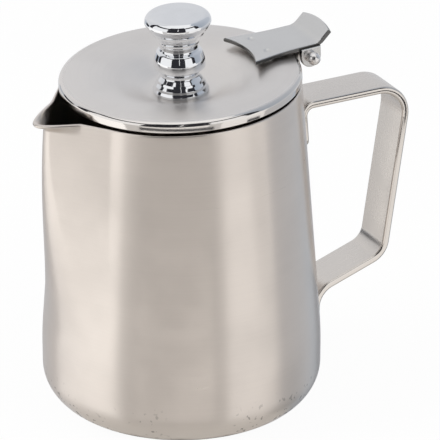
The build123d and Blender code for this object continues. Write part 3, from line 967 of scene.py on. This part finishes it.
floor_mesh = bpy.data.meshes.new("floor")
floor_corners = [(x * FLOOR_HALF, y * FLOOR_HALF, 0) for x, y in ((-1, -1), (1, -1), (1, 1), (-1, 1))]
floor_mesh.from_pydata(floor_corners, [], [(0, 1, 2, 3)])
floor = bpy.data.objects.new("floor", floor_mesh)
bpy.context.collection.objects.link(floor)
floor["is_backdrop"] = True
floor_paper = bpy.data.materials.new("floor_paper")
floor_paper.use_nodes = True
tree = floor_paper.node_tree
paper = tree.nodes["Principled BSDF"]
paper.inputs["Base Color"].default_value = (FLOOR_WHITE, FLOOR_WHITE, FLOOR_WHITE, 1)
paper.inputs["Roughness"].default_value = 0.9
white = place(tree, "ShaderNodeEmission", Color=(1, 1, 1, 1), Strength=1.0)
share = calc(tree, "MULTIPLY", seen_directly(tree), FLOOR_WHITE)
mix = place(tree, "ShaderNodeMixShader", i0=share, i1=paper.outputs[0], i2=white.outputs[0])
tree.links.new(mix.outputs[0], tree.nodes["Material Output"].inputs["Surface"])
floor_mesh.materials.append(floor_paper)
floor.visible_glossy = False

# Studio. White surroundings, two soft lamps, and light and dark cards that give the steel its bands.
# The cards show in reflections only. Those below the floor's height give the lower half of each band.
WORLD_LIGHT = 0.6
VIEW_AZIMUTH = math.radians(-27.735)
CARD_STEPS = 16
CARD_RADIUS = 0.9
NEAR_RADIUS = 0.88
PIT = -0.9
BLACK = (0.03, 0.03, 0.035)
WHITE = (1.1, 1.09, 1.08)
WHITE_WARM = (1.24, 1.22, 1.19)
WHITE_RIGHT = (0.98, 0.96, 0.94)
WHITE_LOW = (0.68, 0.66, 0.64)
GREY = (0.96, 0.93, 0.90)
GREY_SIDE = (0.66, 0.64, 0.62)
GREY_LOW = (0.48, 0.46, 0.44)
GREY_BELOW = (0.62, 0.60, 0.57)
GREY_BACK = (0.80, 0.80, 0.81)
DARK = (0.12, 0.12, 0.12)
DARK_EDGE = (0.12, 0.12, 0.13)

world = bpy.data.worlds.new("studio")
bpy.context.scene.world = world
world.use_nodes = True
tree = world.node_tree
sky = tree.nodes["Background"].inputs
sky["Color"].default_value = (1, 1, 1, 1)
extra = calc(tree, "MULTIPLY", seen_directly(tree), 1.0 - WORLD_LIGHT)
tree.links.new(calc(tree, "ADD", WORLD_LIGHT, extra), sky["Strength"])


def studio_card(name, start, end, foot, head, first, last):
    """A card round the jug between two angles to the right of the camera, for reflections only.

    Foot and head are the radius and height of its lower and upper edge; its tone runs from first to last.
    """
    points = []
    tones = []
    for step in range(CARD_STEPS + 1):
        share = step / CARD_STEPS
        angle = VIEW_AZIMUTH + math.radians(start + (end - start) * share)
        for radius, height in (foot, head):
            points.append((radius * math.sin(angle), -radius * math.cos(angle), height))
            tones.append([a + (b - a) * share for a, b in zip(first, last)] + [1.0])
    mesh = bpy.data.meshes.new(name)
    mesh.from_pydata(points, [], [(2 * i, 2 * i + 2, 2 * i + 3, 2 * i + 1) for i in range(CARD_STEPS)])
    tint = mesh.color_attributes.new("tone", "FLOAT_COLOR", "POINT")
    for spot, tone in zip(tint.data, tones):
        spot.color = tone
    card = bpy.data.objects.new(name, mesh)
    bpy.context.collection.objects.link(card)
    card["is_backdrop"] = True
    felt = bpy.data.materials.new(name)
    felt.use_nodes = True
    shade = place(felt.node_tree, "ShaderNodeAttribute", {"attribute_name": "tone"})
    glow = place(felt.node_tree, "ShaderNodeEmission", Color=shade.outputs["Color"], Strength=1.0)
    felt.node_tree.links.new(glow.outputs[0], felt.node_tree.nodes["Material Output"].inputs["Surface"])
    mesh.materials.append(felt)
    card.visible_camera = False
    card.visible_diffuse = False
    card.visible_shadow = False


for name, start, end, radius, low, high, first, last in (
    ("card_front_low_left", -52, -36, CARD_RADIUS, -0.42, 0.1, GREY_SIDE, GREY_SIDE),
    ("card_front_low", -36, 26, CARD_RADIUS, -0.42, 0.03, GREY, GREY),
    ("card_front_low_right", 26, 38, CARD_RADIUS, -0.42, 0.1, GREY_SIDE, GREY_SIDE),
    ("card_front_floor", -50, 38, CARD_RADIUS, PIT, -0.42, GREY_LOW, GREY_LOW),
    ("card_window_left_low", -118, -52, CARD_RADIUS, -0.55, 0.1, WHITE, WHITE_WARM),
    ("card_window_left_floor", -118, -50, CARD_RADIUS, PIT, -0.55, WHITE_LOW, WHITE_LOW),
    ("card_window_right_low", 38, 84, CARD_RADIUS, -0.55, 0.1, WHITE_RIGHT, WHITE_RIGHT),
    ("card_window_right_floor", 38, 82, CARD_RADIUS, PIT, -0.55, WHITE_LOW, WHITE_LOW),
    ("card_right_low", 84, 130, CARD_RADIUS, -0.55, -0.1, (0.55, 0.54, 0.54), (0.55, 0.58, 0.62)),
    ("card_right_floor", 82, 130, CARD_RADIUS, PIT, -0.55, (0.28, 0.27, 0.26), (0.30, 0.31, 0.32)),
    ("card_back_low", 130, 242, CARD_RADIUS, PIT, -0.17, (0.50, 0.56, 0.63), (0.64, 0.62, 0.61)),
    ("card_edge_low", 147, 156, NEAR_RADIUS, PIT, -0.26, DARK_EDGE, DARK_EDGE),
    ("card_front", -36, 26, CARD_RADIUS, 0.03, 0.35, BLACK, BLACK),
    ("card_front_left", -36, -1.2, CARD_RADIUS, 0.35, 1.6, BLACK, BLACK),
    ("card_front_right", 1.2, 26, CARD_RADIUS, 0.35, 1.6, BLACK, BLACK),
    ("card_over_front", -106, 76, CARD_RADIUS, 0.8, 1.2, BLACK, BLACK),
    ("card_right", 61, 76, CARD_RADIUS, 0.28, 1.2, BLACK, BLACK),
    ("card_side_right_low", 84, 145, CARD_RADIUS, -0.1, 0.15, (0.62, 0.63, 0.65), (0.60, 0.63, 0.67)),
    ("card_side_right", 76, 145, CARD_RADIUS, 0.15, 2.4, (0.40, 0.44, 0.50), (0.56, 0.59, 0.64)),
    ("card_back", 145, 215, CARD_RADIUS, -0.17, 2.4, (0.66, 0.68, 0.72), GREY_BACK),
    ("card_side_left_low", 215, 254, CARD_RADIUS, -0.1, 0.2, (0.50, 0.54, 0.60), (0.42, 0.46, 0.52)),
    ("card_side_left", 215, 254, CARD_RADIUS, 0.2, 2.4, GREY_BACK, (0.72, 0.73, 0.75)),
    ("card_corner", 230, 249, NEAR_RADIUS, -0.04, 0.22, BLACK, BLACK),
    ("card_left", 254, 268, CARD_RADIUS, 0.1, 1.2, BLACK, BLACK),
):
    studio_card(name, start, end, (radius, low), (radius, high), first, last)
for name, start, end, inner, outer, height, tone in (
    ("card_table", -36, 30, 0.285, 0.345, 0.0, BLACK),
    ("card_table_left", -106, -92, 0.285, 0.345, 0.0, BLACK),
    ("card_table_right", 62, 76, 0.285, 0.345, 0.0, BLACK),
    # The dark disc under the foot is a painted shadow: it stands in for the jug's contact shadow on the floor
    # in reflections.
    ("card_contact", -180, 180, 0.01, 0.0475, 0.0003, DARK),
    ("card_below", -180, 180, 0.02, CARD_RADIUS, PIT, GREY_BELOW),
):
    studio_card(name, start, end, (inner, height), (outer, height), tone, tone)

LAMP_RADIUS = 1.1
LAMP_AIM = Vector((0, 0, 0.06))
for name, angle, height, size, power in (
    ("lamp_left", -80, 0.9, 0.7, 8.0),
    ("lamp_right", 60, 0.8, 0.6, 4.0),
):
    lamp = bpy.data.lights.new(name, "AREA")
    lamp.size = size
    lamp.energy = power
    stand = bpy.data.objects.new(name, lamp)
    bpy.context.collection.objects.link(stand)
    spot = VIEW_AZIMUTH + math.radians(angle)
    stand.location = (LAMP_RADIUS * math.sin(spot), -LAMP_RADIUS * math.cos(spot), height)
    stand.rotation_euler = (LAMP_AIM - stand.location).to_track_quat("-Z", "Y").to_euler()
    stand.visible_glossy = False

# Camera. A long lens a little above the jug, turned towards its spout side.
# Its aim is the jug's axis, moved right and up in the picture as the photograph is framed.
VIEW_ELEVATION = math.radians(25.15)
VIEW_DISTANCE = 1.7181
AIM_HEIGHT = 0.065
AIM_RIGHT = 0.01489
AIM_UP = 0.00658
SENSOR_WIDTH = 36.0
FOCAL_SHARE = 4486.6 / 440
level = math.cos(VIEW_ELEVATION)
back = Vector((math.sin(VIEW_AZIMUTH) * level, -math.cos(VIEW_AZIMUTH) * level, math.sin(VIEW_ELEVATION)))
right = Vector((math.cos(VIEW_AZIMUTH), math.sin(VIEW_AZIMUTH), 0))
upward = back.cross(right)
aim = Vector((0, 0, AIM_HEIGHT)) + right * AIM_RIGHT + upward * AIM_UP
lens = bpy.data.cameras.new("camera")
lens.sensor_width = SENSOR_WIDTH
lens.lens = FOCAL_SHARE * SENSOR_WIDTH
lens.clip_end = 20.0
camera = bpy.data.objects.new("camera", lens)
bpy.context.collection.objects.link(camera)
camera.location = aim + back * VIEW_DISTANCE
camera.rotation_euler = (-back).to_track_quat("-Z", "Y").to_euler()
bpy.context.scene.camera = camera
bpy.context.scene.view_settings.view_transform = "Standard"

low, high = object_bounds()
